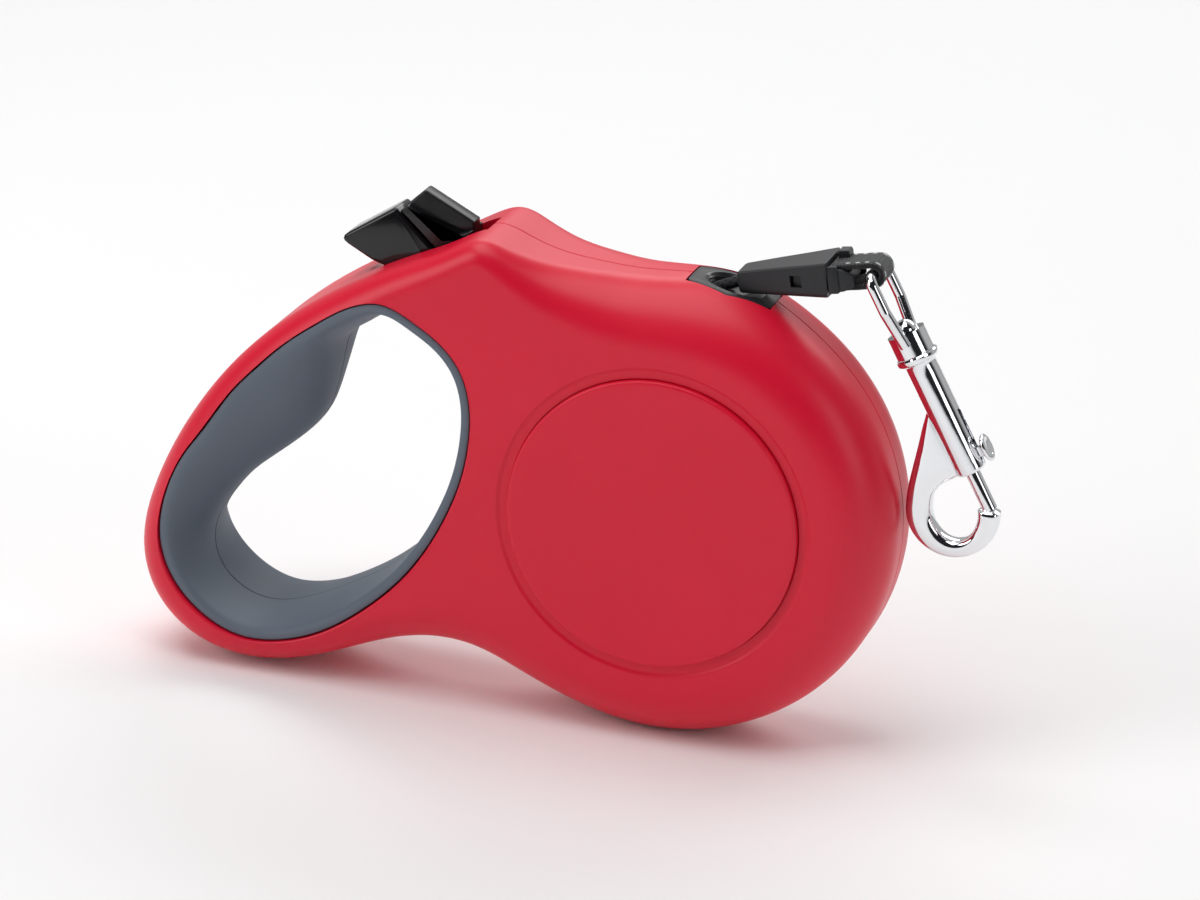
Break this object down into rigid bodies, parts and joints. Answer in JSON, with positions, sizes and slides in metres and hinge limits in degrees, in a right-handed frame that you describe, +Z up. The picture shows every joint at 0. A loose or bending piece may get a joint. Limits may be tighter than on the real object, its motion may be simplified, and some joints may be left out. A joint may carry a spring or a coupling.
{
  "type": "retractable dog leash",
  "caption": "Retractable leash: rounded two-part casing with hand opening, sprung cord reel, thumb brake with lock, cord nozzle and swivel snap hook.",
  "frame": {"origin": "bottom centre of the bounding box; the leash stands on the edge of its reel and handle", "axes": "+X towards the cord nozzle and the snap hook, +Y across the casing to its left-hand side, +Z up"},
  "size_m": [0.191, 0.0356, 0.113],
  "materials": {
    "red_soft_touch": "soft-touch satin",
    "grey_grip": "soft matt",
    "black_gloss": "polished",
    "black_satin": "fine satin",
    "black_webbing": "woven, reflective stitches",
    "black_cord": "braided",
    "chrome": "polished plating",
    "steel": "plain",
    "reel_plastic": "natural acetal"
  },
  "bodies": {
    "casing": {"right_casing": "red_soft_touch", "left_casing": "red_soft_touch", "right_grip_liner": "grey_grip", "left_grip_liner": "grey_grip", "right_centre_cap": "red_soft_touch", "left_centre_cap": "red_soft_touch", "cord_nozzle": "black_satin", "spool_axle": "steel", "axle_screw": "steel", "casing_screws": "steel", "button_pin": "steel", "pawl_pin": "steel", "button_return_spring": "steel"},
    "reel": {"spool": "reel_plastic", "spring_cup_cover": "reel_plastic", "wound_cord": "black_cord", "power_spring": "steel"},
    "button": {"brake_button": "black_gloss"},
    "lock": {"lock_slider": "black_gloss"},
    "pawl": {"brake_pawl": "reel_plastic"},
    "lead": {"cord_lead": "black_cord", "connector_sleeve": "black_satin", "connector_insert": "black_satin", "webbing_loop": "black_webbing"},
    "eye": {"swivel_eye": "chrome"},
    "snap": {"swivel_rivet": "chrome", "snap_hook": "chrome", "bolt_spring": "steel"},
    "bolt": {"snap_bolt": "chrome"}
  },
  "joints": [
    {"name": "button_press", "type": "hinge", "parent": "casing", "child": "button", "pos_m": [-0.03102, 0, 0.0944], "axis": [0, -1, 0], "range_deg": [0, 7], "stiffness_Nm_per_rad": 0.3, "springref_deg": -6.88},
    {"name": "pawl_swing", "type": "hinge", "parent": "casing", "child": "pawl", "pos_m": [-0.02011, 0, 0.0873], "axis": [0, -1, 0], "range_deg": [-13, 0]},
    {"name": "lock_slide", "type": "slide", "parent": "casing", "child": "lock", "axis": [0.8793, 0, 0.4762], "range_m": [0, 0.003]},
    {"name": "reel_spin", "type": "hinge", "parent": "casing", "child": "reel", "pos_m": [0.02347, 0, 0.05117], "axis": [0, 1, 0], "range_deg": [0, 36], "stiffness_Nm_per_rad": 0.05, "springref_deg": -171.89},
    {"name": "lead_pull", "type": "slide", "parent": "casing", "child": "lead", "axis": [0.8797, 0, 0.4755], "range_m": [0, 0.02548]},
    {"name": "eye_swing", "type": "hinge", "parent": "lead", "child": "eye", "pos_m": [0.0644, 0, 0.10956], "axis": [0, -1, 0], "range_deg": [0, 110]},
    {"name": "snap_swivel", "type": "hinge", "parent": "eye", "child": "snap", "pos_m": [0.0644, 0, 0.10956], "axis": [-0.506, 0, 0.8625], "continuous": true},
    {"name": "bolt_slide", "type": "slide", "parent": "snap", "child": "bolt", "axis": [-0.506, 0, 0.8625], "range_m": [0, 0.0085], "stiffness_N_per_m": 300, "springref_m": -0.01, "deforming": ["bolt_spring"]}
  ],
  "couplings": [
    {"joint": "pawl_swing", "follows": "button_press", "ratio": -1.8},
    {"joint": "lead_pull", "follows": "reel_spin", "m_per_rad": 0.0404}
  ]
}
